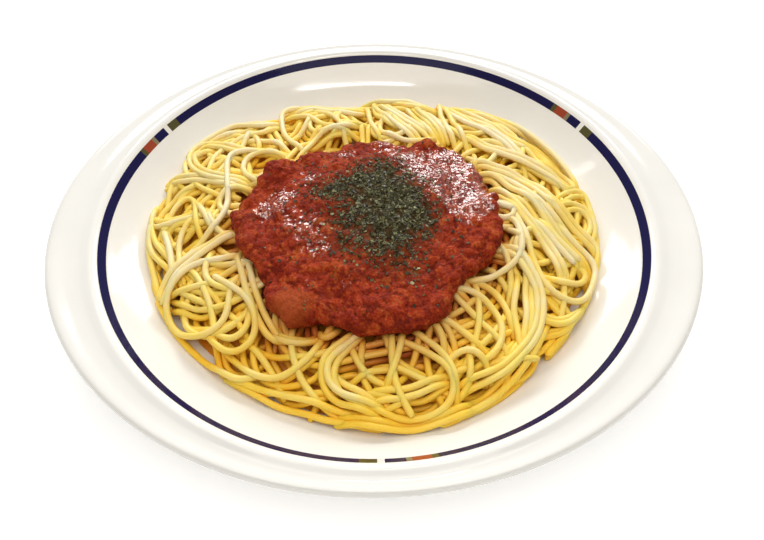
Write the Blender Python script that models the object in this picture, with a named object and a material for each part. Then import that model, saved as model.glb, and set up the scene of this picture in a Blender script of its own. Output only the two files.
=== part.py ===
"""Spaghetti bolognese on its plate: a wide-rimmed white plate, a heap of spaghetti lying in
the plate's well, and a mound of meat sauce with dried parsley on top of the heap.

Lengths are in metres, +Z is up, and the origin is the middle of the foot ring's underside.
"""

import math

import bmesh
import bpy
import numpy as np
from mathutils import Matrix, Vector, noise

MM = 0.001

# Driving dimensions of the plate
STRIPE_RADIUS = 100 * MM
LIP_RADIUS = 104 * MM
PLATE_HALF_WIDTH = 120 * MM
PLATE_HALF_DEPTH = 111 * MM
FLOOR_Z = 7.5 * MM
STRIPE_Z = 22 * MM
PLATE_SIDES = 54

# The gap that touching solids keep, and the turn that spreads things evenly over a round
GAP = 0.35 * MM
GOLDEN_ANGLE = math.radians(137.5)

# Driving dimensions of the heap of spaghetti
HEAP_CENTRE = Vector((0, -5 * MM, 0))
HEAP_RADIUS = 85 * MM
HEAP_TOP_Z = 24 * MM
HEAP_EDGE_Z = 13 * MM
CORE_SHARE = 0.9
STRAND_RADIUS = 1.25 * MM
EDGE_STRANDS = 8
LOOP_STRANDS = 15
CURLS = 3
CURL_RADIUS = 8 * MM

# Driving dimensions of the sauce
SAUCE_CENTRE = Vector((-2.5 * MM, -10 * MM, 0))
SAUCE_RADIUS = 49 * MM
SAUCE_HEIGHT = 13 * MM
SAUCE_EDGE = 4.0 * MM
CHUNK_RADIUS = 7 * MM
CHUNK_ANGLE = math.radians(-123)
CRUMB_COUNT = 32
FLAKE_COUNT = 18

COLOURS = {
    "plate": ((0.86, 0.85, 0.82), 0.15),
    "spaghetti": ((0.86, 0.66, 0.24), 0.4),
    "meat_sauce": ((0.36, 0.07, 0.03), 0.3),
}


def material(name):
    """A Principled BSDF in the piece's own colour and roughness."""
    colour, roughness = COLOURS[name]
    made = bpy.data.materials.new(name)
    made.use_nodes = True
    shader = made.node_tree.nodes["Principled BSDF"]
    shader.inputs["Base Color"].default_value = (*colour, 1.0)
    shader.inputs["Roughness"].default_value = roughness
    shader.inputs["Metallic"].default_value = 0.0
    return made


def object_from(name, bm):
    """A smooth-shaded object made from a bmesh, which is freed."""
    bmesh.ops.recalc_face_normals(bm, faces=bm.faces)
    mesh = bpy.data.meshes.new(name)
    bm.to_mesh(mesh)
    bm.free()
    mesh.shade_smooth()
    made = bpy.data.objects.new(name, mesh)
    bpy.context.scene.collection.objects.link(made)
    return made


def ring_of(bm, points):
    return [bm.verts.new(point) for point in points]


def join_rings(bm, first, second):
    """Quads between two rings of the same number of points."""
    count = len(first)
    for k in range(count):
        after = (k + 1) % count
        bm.faces.new((first[k], first[after], second[after], second[k]))


def fan(bm, ring, centre):
    """Triangles from a ring to one point in its middle."""
    tip = bm.verts.new(centre)
    for k in range(len(ring)):
        bm.faces.new((ring[k], ring[(k + 1) % len(ring)], tip))


# The plate

PLATE_TOP = [
    (64 * MM, FLOOR_Z),
    (76 * MM, FLOOR_Z + 1.2 * MM),
    (85 * MM, FLOOR_Z + 3.9 * MM),
    (92 * MM, FLOOR_Z + 8.0 * MM),
    (96.5 * MM, FLOOR_Z + 11.4 * MM),
    (STRIPE_RADIUS, STRIPE_Z),
    (102.3 * MM, STRIPE_Z + 1.0 * MM),
    (LIP_RADIUS, STRIPE_Z + 1.2 * MM),
    (107 * MM, STRIPE_Z + 1.0 * MM),
    (117.5 * MM, STRIPE_Z + 1.9 * MM),
]
RIM_ROLL = [
    (119.4 * MM, STRIPE_Z + 1.5 * MM),
    (PLATE_HALF_WIDTH, STRIPE_Z + 0.2 * MM),
    (119.3 * MM, STRIPE_Z - 1.4 * MM),
]
PLATE_UNDERSIDE = [
    (116.5 * MM, STRIPE_Z - 2.6 * MM),
    (106 * MM, STRIPE_Z - 4.0 * MM),
    (98 * MM, STRIPE_Z - 9.0 * MM),
    (89 * MM, FLOOR_Z - 0.4 * MM),
    (78 * MM, FLOOR_Z - 4.2 * MM),
]
FOOT_RING = [
    (71.5 * MM, 0.5 * MM),
    (70.8 * MM, 0.0),
    (67.2 * MM, 0.0),
    (66.5 * MM, 0.5 * MM),
    (64.5 * MM, 3.0 * MM),
]


def rim_stretch(angle):
    """How far the rim's width is stretched beyond the lip, which makes the outline an oval."""
    edge = 1 / math.hypot(
        math.cos(angle) / PLATE_HALF_WIDTH, math.sin(angle) / PLATE_HALF_DEPTH
    )
    return (edge - LIP_RADIUS) / (PLATE_HALF_WIDTH - LIP_RADIUS)


def plate_point(radius, z, angle):
    if radius > LIP_RADIUS:
        radius = LIP_RADIUS + (radius - LIP_RADIUS) * rim_stretch(angle)
    return Vector((radius * math.cos(angle), radius * math.sin(angle), z))


def plate_surface(radius):
    """Height of the well's surface at a distance from the plate's axis."""
    radii, heights = zip(*PLATE_TOP)
    return np.interp(radius, radii, heights)


def make_plate():
    """The plate is one turned wall: well, lip, rim, rolled edge, underside and foot ring."""
    angles = [2 * math.pi * k / PLATE_SIDES for k in range(PLATE_SIDES)]
    bm = bmesh.new()
    profile = PLATE_TOP + RIM_ROLL + PLATE_UNDERSIDE + FOOT_RING
    rings = [ring_of(bm, [plate_point(r, z, a) for a in angles]) for r, z in profile]
    for inner, outer in zip(rings, rings[1:]):
        join_rings(bm, inner, outer)
    fan(bm, rings[0], (0, 0, FLOOR_Z))
    fan(bm, rings[-1], (0, 0, FOOT_RING[-1][1]))
    return object_from("plate", bm)


# The heap of spaghetti


def waves(angle, terms):
    """A sum of sine waves round a turn, from (waves in a turn, amplitude, phase)."""
    return sum(size * math.sin(count * angle + phase) for count, size, phase in terms)


def heap_edge(angle):
    """The heap's uneven outline, as a distance from its centre."""
    lobes = [(1, 4.2, 0.0), (2, 2.8, 1.6), (3, 3.4, 0.0), (5, 1.2, 0.4), (9, 1.0, 2.0)]
    return HEAP_RADIUS + waves(angle, lobes) * MM


def heap_top(point):
    """Height of the packed spaghetti under the loose strands, down to 0 outside its edge."""
    offset = point - HEAP_CENTRE
    edge = heap_edge(math.atan2(offset.y, offset.x)) * CORE_SHARE
    share = math.hypot(offset.x, offset.y) / edge
    if share > 1:
        return 0.0
    hollow = 2.0 * MM * share**3 * noise.noise(Vector((point.x, point.y, 0)) / (13 * MM))
    rise = (1 - share**3) ** 0.8
    return HEAP_EDGE_Z + (HEAP_TOP_Z - HEAP_EDGE_Z + hollow) * rise


def make_heap_core():
    """The packed middle of the heap, fitted to the plate's well below."""
    sides, shares = 36, (0.3, 0.52, 0.68, 0.8, 0.9, 0.99)
    flat_share = 0.6
    angles = [2 * math.pi * k / sides for k in range(sides)]
    bm = bmesh.new()
    top, bottom = [], []
    for share in shares:
        above, below = [], []
        for angle in angles:
            reach = heap_edge(angle) * CORE_SHARE * share
            point = HEAP_CENTRE + Vector((math.cos(angle), math.sin(angle), 0)) * reach
            seat = plate_surface(math.hypot(point.x, point.y)) + 1.5 * GAP
            above.append((point.x, point.y, max(heap_top(point), seat + MM)))
            below.append((point.x, point.y, seat))
        top.append(ring_of(bm, above))
        if share > flat_share:
            bottom.append(ring_of(bm, below))
    for surface in (top, bottom):
        for inner, outer in zip(surface, surface[1:]):
            join_rings(bm, inner, outer)
    join_rings(bm, top[-1], bottom[-1])
    fan(bm, top[0], (*HEAP_CENTRE.xy, heap_top(HEAP_CENTRE)))
    fan(bm, bottom[0], (*HEAP_CENTRE.xy, FLOOR_Z + 1.5 * GAP))
    return object_from("heap_core", bm)


class Ground:
    """A grid of heights that the strands are laid on, one after another."""

    step = 1.0 * MM
    reach = 100 * MM
    sink = 0.55 * MM

    def __init__(self):
        count = int(2 * self.reach / self.step)
        self.axis = (np.arange(count) + 0.5) * self.step - self.reach
        self.height = np.empty((count, count))
        for i, x in enumerate(self.axis):
            for j, y in enumerate(self.axis):
                plate = plate_surface(math.hypot(x, y)) + GAP + self.sink
                self.height[i, j] = max(heap_top(Vector((x, y, 0))), plate)

    def cells_near(self, x, y):
        """Indices, and heights of a strand's round underside, for the cells below it."""
        i = int((x + self.reach) / self.step)
        j = int((y + self.reach) / self.step)
        near = int(STRAND_RADIUS / self.step) + 1
        rows = slice(i - near, i + near + 1)
        columns = slice(j - near, j + near + 1)
        away = (self.axis[rows, None] - x) ** 2 + (self.axis[None, columns] - y) ** 2
        bulge = np.sqrt(np.maximum(STRAND_RADIUS**2 - away, 0))
        return (rows, columns), bulge, away < STRAND_RADIUS**2

    def rest(self, x, y):
        """Height at which a strand's centre comes to rest, sunk in a little so that it fuses."""
        cells, bulge, inside = self.cells_near(x, y)
        return np.where(inside, self.height[cells] + bulge, 0).max() - self.sink

    def cover(self, x, y, z):
        cells, bulge, inside = self.cells_near(x, y)
        old = self.height[cells]
        self.height[cells] = np.where(inside, np.maximum(old, z + bulge), old)


def between_edges(angle, outward):
    """A point between the sauce's edge, at 0, and the heap's outline, at 1."""
    way = Vector((math.cos(angle), math.sin(angle), 0))
    inner = SAUCE_CENTRE + way * (sauce_edge(angle) + 4.5 * MM)
    outer = HEAP_CENTRE + way * (heap_edge(angle) - STRAND_RADIUS)
    return inner.lerp(outer, outward)


def edge_route(number, rng):
    """A strand that follows the heap's outline and turns in under the others at its ends."""
    start = 2 * math.pi * number / EDGE_STRANDS
    sweep = 2 * math.pi / EDGE_STRANDS * rng.uniform(1.15, 1.6)
    count = 19
    points = []
    for k in range(count):
        along = k / (count - 1)
        tuck = abs(2 * along - 1) ** 3
        ripple = 0.07 * math.sin(along * 8 + number)
        points.append(between_edges(start + sweep * along, 0.92 + ripple - 0.45 * tuck))
    return points


def loop_route(number, rng):
    """A loop that leaves the sauce's edge, swings out over the heap and comes back."""
    start = number * GOLDEN_ANGLE
    sweep = math.radians(rng.uniform(35, 110)) * (1 if number % 2 else -1)
    reach = rng.uniform(0.55, 1.0)
    lean = rng.uniform(0.7, 1.4)
    count = 21
    points = []
    for k in range(count):
        along = k / (count - 1)
        outward = reach * math.sin(math.pi * along**lean) ** 0.75
        ripple = 0.08 * outward * math.sin(along * 9 + number)
        points.append(between_edges(start + sweep * along, outward + ripple))
    return points


def curl_route(number, rng):
    """A small open ring that lies on top of the others, midway across the heap."""
    angle = math.radians(40) + 2 * math.pi * number / CURLS
    middle = between_edges(angle, 0.55)
    start = rng.uniform(0, 2 * math.pi)
    count = 17
    points = []
    for k in range(count):
        turn = start + math.radians(310) * k / (count - 1)
        points.append(middle + Vector((math.cos(turn), math.sin(turn), 0)) * CURL_RADIUS)
    return points


def lay_strand(points, ground):
    """Heights along a strand: it rests on what is below it and bridges the small dips."""
    rest = np.array([ground.rest(p.x, p.y) for p in points])
    z = rest.copy()
    for _ in range(6):
        padded = np.concatenate([z[:1], z, z[-1:]])
        z = np.maximum(rest, (padded[:-2] + 2 * z + padded[2:]) / 4)
    buried = STRAND_RADIUS + ground.sink
    z[0] -= buried
    z[-1] -= buried
    for point, height in zip(points, z):
        ground.cover(point.x, point.y, height)
        point.z = height
    return points


def strand_from(number, points):
    """One strand: a bevelled curve with filled caps, turned into a closed mesh."""
    curve = bpy.data.curves.new(f"strand_{number}", "CURVE")
    curve.dimensions = "3D"
    curve.bevel_depth = STRAND_RADIUS
    curve.bevel_resolution = 0
    curve.use_fill_caps = True
    spline = curve.splines.new("POLY")
    spline.points.add(len(points) - 1)
    for target, point in zip(spline.points, points):
        target.co = (*point, 1.0)
    drawn = bpy.data.objects.new(f"strand_{number}", curve)
    bpy.context.scene.collection.objects.link(drawn)
    graph = bpy.context.evaluated_depsgraph_get()
    bm = bmesh.new()
    bm.from_mesh(bpy.data.meshes.new_from_object(drawn.evaluated_get(graph)))
    bmesh.ops.remove_doubles(bm, verts=bm.verts, dist=0.01 * MM)
    bpy.data.objects.remove(drawn)
    return object_from(f"strand_{number}", bm)


def largest_shell(obj):
    """Drops the loose scraps and the sealed hollows that fusing leaves."""
    bm = bmesh.new()
    bm.from_mesh(obj.data)
    unseen, shells = set(bm.verts), []
    while unseen:
        todo, shell = [unseen.pop()], []
        while todo:
            vert = todo.pop()
            shell.append(vert)
            for edge in vert.link_edges:
                other = edge.other_vert(vert)
                if other in unseen:
                    unseen.remove(other)
                    todo.append(other)
        shells.append(shell)
    keep = max(shells, key=len)
    bmesh.ops.delete(bm, geom=[v for s in shells if s is not keep for v in s])
    bmesh.ops.triangulate(bm, faces=bm.faces)
    bm.to_mesh(obj.data)
    bm.free()


def fuse(name, base, pieces):
    """Joins the pieces to the base in one Boolean union and removes them."""
    collection = bpy.data.collections.new(f"{name}_pieces")
    for piece in pieces:
        collection.objects.link(piece)
    union = base.modifiers.new("fuse", "BOOLEAN")
    union.operation = "UNION"
    union.operand_type = "COLLECTION"
    union.collection = collection
    graph = bpy.context.evaluated_depsgraph_get()
    fused = bpy.data.meshes.new_from_object(base.evaluated_get(graph))
    base.modifiers.clear()
    base.data = fused
    base.name = fused.name = name
    for piece in pieces:
        bpy.data.objects.remove(piece)
    bpy.data.collections.remove(collection)
    largest_shell(base)
    base.data.shade_smooth()
    return base


def make_spaghetti():
    """The heap: a packed core with loose strands looping over it, all of one solid."""
    rng = np.random.default_rng(5)
    ground = Ground()
    core = make_heap_core()
    routes = [edge_route(k, rng) for k in range(EDGE_STRANDS)]
    routes += [loop_route(k, rng) for k in range(LOOP_STRANDS)]
    routes += [curl_route(k, rng) for k in range(CURLS)]
    strands = [strand_from(k, lay_strand(route, ground)) for k, route in enumerate(routes)]
    return fuse("spaghetti", core, strands)


# The meat sauce and its parsley


def sauce_edge(angle):
    """The sauce's uneven outline, as a distance from its centre."""
    lobes = [(1, 3.8, 0.3), (2, 2.2, 0.3), (3, 1.3, 0.5), (7, 1.3, 1.1), (12, 1.2, 0.2)]
    return SAUCE_RADIUS + waves(angle, lobes) * MM


def sauce_top(angle, share):
    """A point of the sauce's lumpy upper surface, at a share of the way out to its edge."""
    reach = sauce_edge(angle) * share
    point = SAUCE_CENTRE + Vector((math.cos(angle), math.sin(angle), 0)) * reach
    dome = (1 - share**2.2) ** 0.7
    lumps = 1.3 * MM * noise.noise(point / (7 * MM)) + 0.9 * MM * noise.noise(point / (3 * MM))
    thick = SAUCE_EDGE + (SAUCE_HEIGHT - SAUCE_EDGE) * dome + lumps
    return Vector((point.x, point.y, heap_top(point) + 2 * GAP + thick))


def make_sauce_mound():
    """The mound, whose underside follows the packed spaghetti just below it."""
    sides, shares = 38, (0.2, 0.4, 0.58, 0.74, 0.88, 1.0)
    angles = [2 * math.pi * k / sides for k in range(sides)]
    bm = bmesh.new()
    top = [ring_of(bm, [sauce_top(a, s) for a in angles]) for s in shares]
    bottom = []
    for share in (0.35, 0.65, 0.85, 0.985):
        points = []
        for angle in angles:
            point = sauce_top(angle, share)
            points.append((point.x, point.y, heap_top(point) + 2 * GAP))
        bottom.append(ring_of(bm, points))
    for surface in (top, bottom):
        for inner, outer in zip(surface, surface[1:]):
            join_rings(bm, inner, outer)
    join_rings(bm, top[-1], bottom[-1])
    fan(bm, top[0], sauce_top(0, 0))
    fan(bm, bottom[0], (*SAUCE_CENTRE.xy, heap_top(SAUCE_CENTRE) + 2 * GAP))
    return object_from("sauce_mound", bm)


def make_chunk():
    """The one large smooth piece of mince, at the sauce's front left edge."""
    bm = bmesh.new()
    bmesh.ops.create_icosphere(bm, subdivisions=2, radius=CHUNK_RADIUS)
    stretch = Matrix.Diagonal((1.1, 0.85, 0.65, 1))
    place = Matrix.Translation(sauce_top(CHUNK_ANGLE, 0.86))
    bmesh.ops.transform(bm, verts=bm.verts, matrix=place @ stretch)
    return object_from("chunk", bm)


def make_crumb(number, rng):
    """A crumb of mince, half sunk in the sauce, at a spot set by the golden angle."""
    angle = number * GOLDEN_ANGLE
    share = 0.96 * math.sqrt((number + 0.5) / CRUMB_COUNT)
    bm = bmesh.new()
    bmesh.ops.create_icosphere(bm, subdivisions=1, radius=rng.uniform(1.9, 3.1) * MM)
    stretch = Matrix.Diagonal((rng.uniform(0.9, 1.4), rng.uniform(0.8, 1.1), 0.75, 1))
    turn = Matrix.Rotation(rng.uniform(0, math.pi), 4, "Z")
    centre = sauce_top(angle, share) - Vector((0, 0, 0.5 * MM))
    bmesh.ops.transform(bm, verts=bm.verts, matrix=Matrix.Translation(centre) @ turn @ stretch)
    return object_from(f"crumb_{number}", bm)


def make_flake(number, rng):
    """A flake of dried parsley: a small six-sided chip stuck in the top of the sauce."""
    angle = number * GOLDEN_ANGLE + 0.7
    share = 0.44 * math.sqrt((number + 1.5) / FLAKE_COUNT)
    bm = bmesh.new()
    bmesh.ops.create_cone(
        bm, cap_ends=True, segments=6, radius1=1.3 * MM, radius2=1.0 * MM, depth=1.6 * MM
    )
    tilt = Matrix.Rotation(rng.uniform(-0.6, 0.6), 4, "X") @ Matrix.Rotation(angle, 4, "Z")
    centre = sauce_top(angle, share) + Vector((0, 0, 0.35 * MM))
    bmesh.ops.transform(bm, verts=bm.verts, matrix=Matrix.Translation(centre) @ tilt)
    return object_from(f"flake_{number}", bm)


def make_meat_sauce():
    """The sauce: a lumpy mound with its mince and its parsley flakes, all of one solid."""
    rng = np.random.default_rng(5)
    crumbs = [make_crumb(k, rng) for k in range(CRUMB_COUNT)]
    flakes = [make_flake(k, rng) for k in range(FLAKE_COUNT)]
    return fuse("meat_sauce", make_sauce_mound(), [make_chunk()] + crumbs + flakes)


def main():
    for obj in list(bpy.data.objects):
        bpy.data.objects.remove(obj)
    for made in (make_plate(), make_spaghetti(), make_meat_sauce()):
        made.data.materials.clear()
        made.data.materials.append(material(made.name))


main()
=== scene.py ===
"""Spaghetti bolognese on its plate, with every surface finished.

The model comes in metres. The sizes of the pieces below are in millimetres, and turn into
metres where a mesh is made. The lights and the camera are placed in metres.
"""

import copy
import math

import bpy
import numpy as np
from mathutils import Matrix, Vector, noise


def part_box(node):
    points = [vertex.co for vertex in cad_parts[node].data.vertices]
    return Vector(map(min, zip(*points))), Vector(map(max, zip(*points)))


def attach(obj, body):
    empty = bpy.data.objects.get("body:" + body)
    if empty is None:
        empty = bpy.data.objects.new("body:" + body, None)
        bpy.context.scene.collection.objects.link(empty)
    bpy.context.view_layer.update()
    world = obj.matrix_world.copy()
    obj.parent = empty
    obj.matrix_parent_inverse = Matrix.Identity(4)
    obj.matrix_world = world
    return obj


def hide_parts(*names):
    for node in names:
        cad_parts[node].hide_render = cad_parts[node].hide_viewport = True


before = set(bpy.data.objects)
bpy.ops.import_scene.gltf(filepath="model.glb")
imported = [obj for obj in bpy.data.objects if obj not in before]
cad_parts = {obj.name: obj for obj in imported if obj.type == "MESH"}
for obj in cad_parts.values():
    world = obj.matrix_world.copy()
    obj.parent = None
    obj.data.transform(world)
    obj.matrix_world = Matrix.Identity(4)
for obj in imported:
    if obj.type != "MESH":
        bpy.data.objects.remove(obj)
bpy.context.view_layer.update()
MM = 0.001


# The plate is white glazed porcelain: a round well, a lip and a nearly flat rim with a rolled
# edge, pressed in one and fired. The navy stripe on the steep wall under the lip is a transfer
# fired on the glaze, and three times round it gives way to a row of coloured dashes.


class Shade:
    """A value in a material's nodes, on which Python's own sums work as Math nodes."""

    def __init__(self, tree, socket=None):
        self.tree = tree
        self.socket = socket

    def node(self, kind, settings=None, values=None, output=0):
        """Adds a node: its settings first, then the values or links of its sockets."""
        made = self.tree.nodes.new("ShaderNode" + kind)
        for name, setting in (settings or {}).items():
            if name == "stops":
                fill_ramp(made.color_ramp, setting)
            else:
                setattr(made, name, setting)
        for name, value in (values or {}).items():
            self.feed(made.inputs[name], value)
        return Shade(self.tree, made.outputs[output])

    def feed(self, target, value):
        if isinstance(value, Shade):
            self.tree.links.new(value.socket, target)
        else:
            target.default_value = value

    def parts(self, layer):
        """The three values that each point of a mesh has in a colour layer."""
        colour = self.node("VertexColor", {"layer_name": layer})
        split = self.node("SeparateColor", {}, {"Color": colour})
        return [Shade(self.tree, output) for output in split.socket.node.outputs]

    def sum(self, operation, first, second=0.0, clamp=False):
        settings = {"operation": operation, "use_clamp": clamp}
        return self.node("Math", settings, {0: first, 1: second})

    def mix(self, mask, colour_without, colour_with):
        settings = {"data_type": "RGBA", "clamp_factor": True}
        return self.node("Mix", settings, {0: mask, 6: colour_without, 7: colour_with}, output=2)

    def __add__(self, other):
        return self.sum("ADD", self, other)

    def __sub__(self, other):
        return self.sum("SUBTRACT", self, other)

    def __rsub__(self, other):
        return self.sum("SUBTRACT", other, self)

    def __mul__(self, other):
        return self.sum("MULTIPLY", self, other)

    __radd__ = __add__
    __rmul__ = __mul__


def fill_ramp(ramp, stops):
    """Sets a colour ramp's stops from (place, colour) pairs, first to last."""
    while len(ramp.elements) < len(stops):
        ramp.elements.new(1.0)
    for element, (place, colour) in zip(ramp.elements, stops):
        element.position = place
        element.color = colour


def paint(red, green, blue):
    """A colour as seen on a screen, 0 to 255, turned into the linear light that shaders use."""
    shares = (red / 255, green / 255, blue / 255)
    linear = [s / 12.92 if s <= 0.04045 else ((s + 0.055) / 1.055) ** 2.4 for s in shares]
    return (*linear, 1.0)


def finish_of(name, **constants):
    """A new material, its shader with the constants set, and a Shade to build nodes with."""
    material = bpy.data.materials.new(name)
    material.use_nodes = True
    shader = material.node_tree.nodes["Principled BSDF"]
    for socket, value in constants.items():
        shader.inputs[socket.replace("_", " ")].default_value = value
    return material, shader, Shade(material.node_tree)


def piece_from(name, points, faces, materials, node, smooth=True):
    """A mesh piece in metres from points in millimetres, standing for a node of the model."""
    mesh = bpy.data.meshes.new(name)
    mesh.from_pydata(np.asarray(points) * MM, [], faces)
    for material in materials:
        mesh.materials.append(material)
    if smooth:
        mesh.shade_smooth()
    piece = bpy.data.objects.new(name, mesh)
    bpy.context.scene.collection.objects.link(piece)
    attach(piece, "root")
    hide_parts(node)
    return piece


def quads_between(rings, around):
    """Face corners of a sheet of rings, each with the same number of points round it, which
    run anticlockwise when the first ring is on top."""
    step = np.arange(around)
    after = (step + 1) % around
    faces = []
    for ring in range(rings - 1):
        low, high = ring * around, (ring + 1) * around
        faces.append(np.stack([low + step, high + step, high + after, low + after], axis=1))
    return np.concatenate(faces)


plate_low, plate_high = (np.array(corner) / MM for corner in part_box("plate"))
half_width, half_depth = plate_high[:2]
floor_z = 7.5
stripe_inner, stripe_radius, stripe_outer = 98.8, 100, 101.2
lip_radius, lip_z = 103.8, 24.2
rim_radius = 120
# From the middle of the well out to the rolled edge, and back below to the middle of the foot
plate_section = [
    (0, floor_z),
    (30, floor_z),
    (56, floor_z),
    (68, 7.9),
    (76, 9.0),
    (83, 11.0),
    (89, 13.8),
    (94, 17.0),
    (97, 19.2),
    (stripe_inner, 20.6),
    (stripe_outer, 23.1),
    (102.5, 24.0),
    (lip_radius, lip_z),
    (105.3, 23.95),
    (108, 23.45),
    (112.5, 23.3),
    (116.3, 23.6),
    (118.4, 23.5),
    (119.6, 22.8),
    (rim_radius, 21.8),
    (119.5, 20.6),
    (118, 19.8),
    (112, 18.9),
    (106, 17.8),
    (98, 13.0),
    (89, 7.1),
    (78, 3.3),
    (72, 0.9),
    (70.8, 0),
    (67.2, 0),
    (66.2, 0.9),
    (64.5, 3.0),
    (30, 3.0),
    (0, 3.0),
]


def smooth_line(corners, steps):
    """Points along a smooth curve through the corners, with a number of steps between them."""
    corners = np.asarray(corners, dtype=float)
    before_first = 2 * corners[:1] - corners[1:2]
    after_last = 2 * corners[-1:] - corners[-2:-1]
    padded = np.concatenate([before_first, corners, after_last])
    points = []
    for before, start, end, after in zip(padded, padded[1:], padded[2:], padded[3:]):
        span = np.linalg.norm(end - start)
        leave = (end - before) / (span + np.linalg.norm(start - before)) * span
        arrive = (after - start) / (span + np.linalg.norm(after - end)) * span
        for t in np.arange(steps) / steps:
            points.append(
                (2 * t**3 - 3 * t**2 + 1) * start
                + (t**3 - 2 * t**2 + t) * leave
                + (3 * t**2 - 2 * t**3) * end
                + (t**3 - t**2) * arrive
            )
    points.append(corners[-1])
    return np.array(points)


# The dashes, anticlockwise seen from above: colour and length along the stripe in mm
dashes = [
    ("dash_green", 5.3),
    ("plate_glaze", 2.2),
    ("stripe_navy", 6.2),
    ("dash_sand", 1.8),
    ("dash_red", 5.8),
    ("dash_green", 2.0),
]
dashes_length = sum(length for _, length in dashes)
dash_groups = [math.radians(degrees) for degrees in (-86.4, 32.5, 153)]


def dash_at(angle):
    """The finish of the stripe at an angle round the plate."""
    for middle in dash_groups:
        turn = (angle - middle + math.pi) % (2 * math.pi) - math.pi
        along = turn * stripe_radius + dashes_length / 2
        for finish, length in dashes:
            if 0 <= along < length:
                return finish
            along -= length
    return "stripe_navy"


def round_plate_angles(count):
    """Even angles round the plate, with one more wherever a dash begins or ends."""
    edges = []
    for middle in dash_groups:
        along = -dashes_length / 2
        for length in [0] + [length for _, length in dashes]:
            along += length
            edges.append((middle + along / stripe_radius) % (2 * math.pi))
    even = [k * 2 * math.pi / count for k in range(count)]
    clear = math.pi / count * 0.6
    return sorted(edges + [a for a in even if min(abs(a - e) for e in edges) > clear])


def plate_height(distance):
    """Height of the plate's upper surface at a distance from its axis."""
    top = smooth_line(plate_section[: plate_section.index((lip_radius, lip_z)) + 1], 6)
    return np.interp(distance, top[:, 0], top[:, 1])


def glaze(name, colour, cloudiness=0.02, shine=0.5):
    """Fired glaze: a hard gloss over the colour, very slightly uneven."""
    material, shader, shade = finish_of(name, IOR=1.5, Specular_IOR_Level=shine)
    place = shade.node("TexCoord", output=3)
    cloud = shade.node("TexNoise", {}, {"Vector": place, "Scale": 45.0, "Detail": 3.0})
    specks = shade.node("TexNoise", {}, {"Vector": place, "Scale": 900.0, "Detail": 1.0})
    darker = tuple(c * (1 - 4 * cloudiness) for c in colour[:3]) + (1.0,)
    shade.feed(shader.inputs["Base Color"], shade.mix(cloud, colour, darker))
    shade.feed(shader.inputs["Roughness"], 0.07 + 0.06 * cloud)
    ripple = cloud * 0.7 + specks * 0.05
    bump = shade.node("Bump", {}, {"Strength": 0.05, "Distance": 0.0006, "Height": ripple})
    shade.feed(shader.inputs["Normal"], bump)
    return material


plate_finishes = {
    "plate_glaze": glaze("plate_glaze", paint(242, 240, 234)),
    "stripe_navy": glaze("stripe_navy", paint(32, 30, 76), 0.05, 0.1),
    "dash_green": glaze("dash_green", paint(88, 84, 50), 0.05, 0.2),
    "dash_sand": glaze("dash_sand", paint(140, 128, 100), 0.05, 0.2),
    "dash_red": glaze("dash_red", paint(164, 72, 48), 0.05, 0.2),
}


def make_plate():
    """Turns the section round the well, and draws the rim out to the plate's oval outline."""
    section = smooth_line(plate_section, 3).clip(0)
    angles = np.array(round_plate_angles(256))
    count = len(angles)
    edge = 1 / np.hypot(np.cos(angles) / half_width, np.sin(angles) / half_depth)
    stretch = (edge - lip_radius) / (rim_radius - lip_radius)
    rings = []
    for radius, z in section[1:-1]:
        beyond = max(radius - lip_radius, 0)
        reach = min(radius, lip_radius) + beyond * stretch
        level = np.full_like(reach, z)
        rings.append(np.column_stack([reach * np.cos(angles), reach * np.sin(angles), level]))
    faces = [tuple(face) for face in quads_between(len(rings), count)]
    middles = [(0, 0, floor_z), (0, 0, section[-1, 1])]
    points = np.concatenate([*rings, middles])
    last = (len(rings) - 1) * count
    for k in range(count):
        after = (k + 1) % count
        faces.append((k, after, len(points) - 2))
        faces.append((last + after, last + k, len(points) - 1))
    plate = piece_from("glazed_plate", points, faces, plate_finishes.values(), "plate")
    # The stripe is on the rings of the wall's upper face, which are all over 20 mm high
    radii, heights = section[1:-1].T
    under_stripe = (radii >= stripe_inner - 0.01) & (radii < stripe_outer - 0.01)
    striped = np.flatnonzero(under_stripe & (heights > 20))
    names = list(plate_finishes)
    ends = np.append(angles, angles[0] + 2 * math.pi)
    for k in range(count):
        finish = names.index(dash_at((ends[k] + ends[k + 1]) / 2))
        for ring in striped:
            plate.data.polygons[int(ring) * count + k].material_index = finish


make_plate()


# The spaghetti is boiled and drained, and lies in the well as a loose heap of some two hundred
# strands, 2.4 mm thick. Their colour is painted pale on top and darker amber deep down and
# towards the front: painted light and shade. The strands are laid one after another: each is
# let down on those below it, stiff enough to bridge the small dips.
strand_radius = 1.2
step = 1.2  # between two points of a strand
core_below = 5.0  # from the top of the heap down to its packed core
left_for_shown = 2.6  # room on the random strands for those that show on top
most_leaders, most_fillers = 200, 110
thin_by = 4.0  # how far below its height a place in the heap is filled up
heap_centre = np.array([0.0, -5.0])
sauce_centre = np.array([-2.5, -10.0])


def waves(angle, steady, terms):
    """A wavy distance round a turn, from (waves in a turn, cosine part, sine part)."""
    return steady + sum(c * np.cos(n * angle) + s * np.sin(n * angle) for n, c, s in terms)


def heap_edge(angle):
    """Distance from the heap's centre to its uneven outline."""
    lobes = [(1, -0.6, 2.5), (2, 2.3, -0.4), (3, -0.7, 3.5), (4, -1.0, -0.3), (5, 0.8, -1.3)]
    return waves(angle, 83.2, lobes)


# From the sauce's centre to its outline, every ten degrees anticlockwise from +X
sauce_reach = [
    47, 47, 48, 48, 49, 47, 44, 42, 40, 39, 40, 40, 40, 41, 41, 42, 43, 45,
    49, 48, 46, 45, 45, 50, 51, 47, 48, 50, 50, 51, 49, 45, 44, 45, 47, 48,
]


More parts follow.
